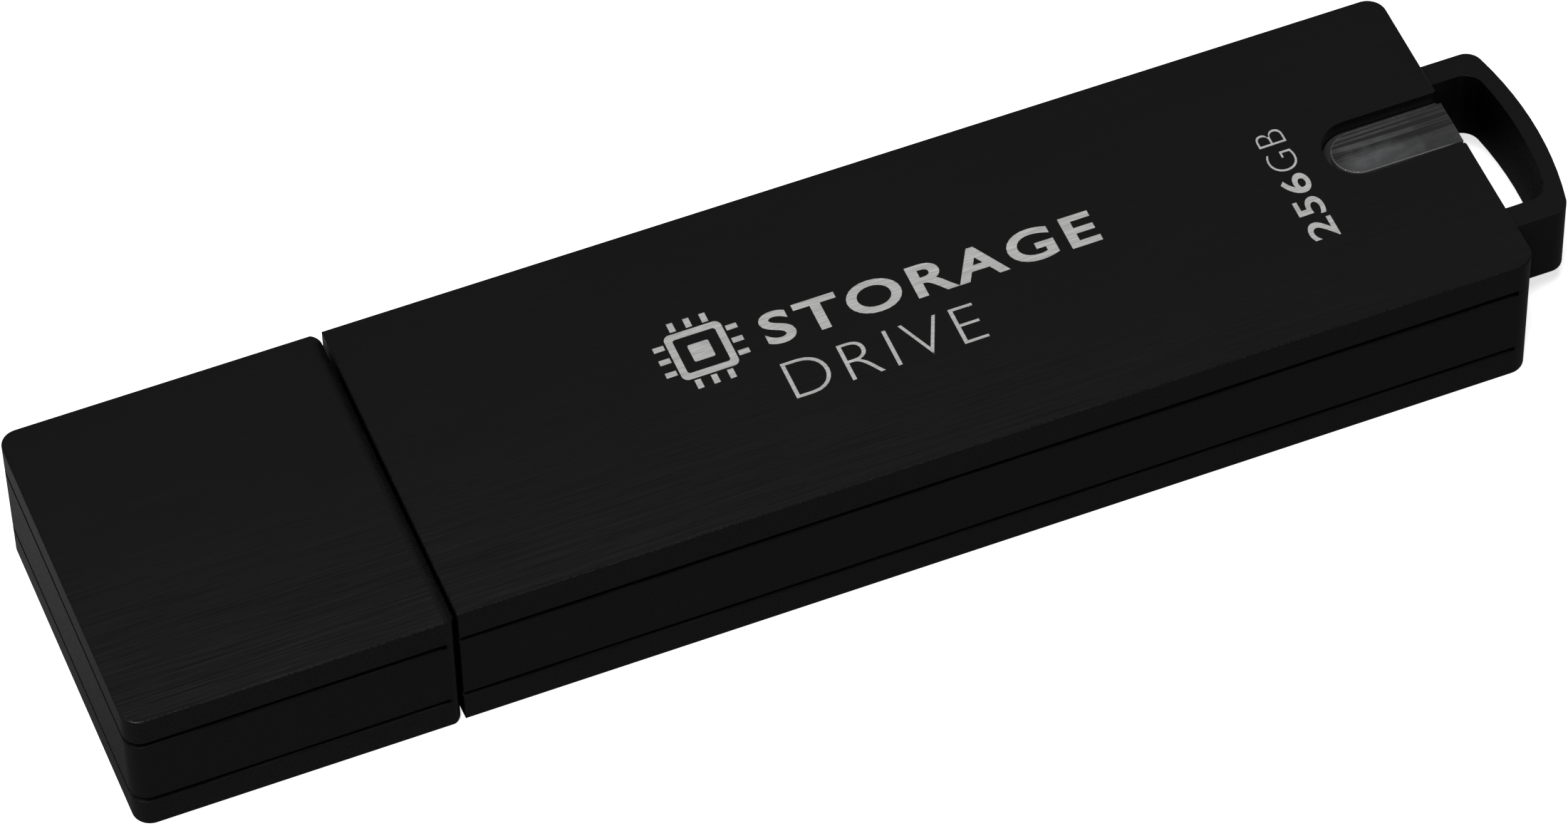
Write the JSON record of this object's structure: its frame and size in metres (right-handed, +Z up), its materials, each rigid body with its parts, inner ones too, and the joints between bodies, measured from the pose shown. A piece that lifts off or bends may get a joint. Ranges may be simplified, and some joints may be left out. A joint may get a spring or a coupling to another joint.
{
  "type": "usb flash drive",
  "caption": "Slim rectangular capped storage stick in black metal, with a data plug under a pull-off cap, an indicator window and a lanyard loop.",
  "frame": {"origin": "centre of the footprint on the underside, where the drive rests on a table", "axes": "+X along the drive from the cap's closed end to the lanyard loop, +Y across it, +Z up through the face that carries the indicator window"},
  "size_m": [0.0778, 0.0192, 0.0083],
  "materials": {
    "anodised_black": "brushed black anodising",
    "frame_black": "fine satin black anodising",
    "plastic_black": "fine texture",
    "rubber_black": "matte",
    "plug_steel": "nickel plated, lightly brushed",
    "insulator_blue": "moulded",
    "contact_gold": "gold plated",
    "spring_steel": "rolled strip",
    "board_green": "solder mask",
    "package_black": "moulded epoxy",
    "can_metal": "plated",
    "ceramic_tan": "ceramic with tinned ends",
    "led_white": "translucent",
    "clear_plastic": "clear polycarbonate",
    "thermal_grey": "soft filled silicone"
  },
  "bodies": {
    "drive": {"top_cover": "anodised_black", "bottom_cover": "anodised_black", "mid_frame": "frame_black", "top_gasket": "rubber_black", "bottom_gasket": "rubber_black", "light_pipe": "clear_plastic", "pipe_holder": "plastic_black", "neck_collar": "plastic_black", "neck_seal": "rubber_black", "usb_shell": "plug_steel", "usb_tongue": "insulator_blue", "front_contacts": "contact_gold", "rear_contacts": "contact_gold", "plug_carrier": "plastic_black", "circuit_board": "board_green", "controller_chip": "package_black", "memory_chip_top": "package_black", "memory_chip_bottom": "package_black", "thermal_pad_top": "thermal_grey", "thermal_pad_bottom": "thermal_grey", "crystal_can": "can_metal", "voltage_regulator": "package_black", "capacitors": "ceramic_tan", "indicator_led": "led_white"},
    "cap": {"cap_top_plate": "anodised_black", "cap_bottom_plate": "anodised_black", "cap_frame": "frame_black", "cap_liner": "plastic_black", "cap_grip_springs": "spring_steel", "cap_stop_pad": "rubber_black"}
  },
  "joints": [
    {"name": "cap_slide", "type": "slide", "parent": "drive", "child": "cap", "axis": [-1, 0, 0], "range_m": [0, 0.03]}
  ]
}
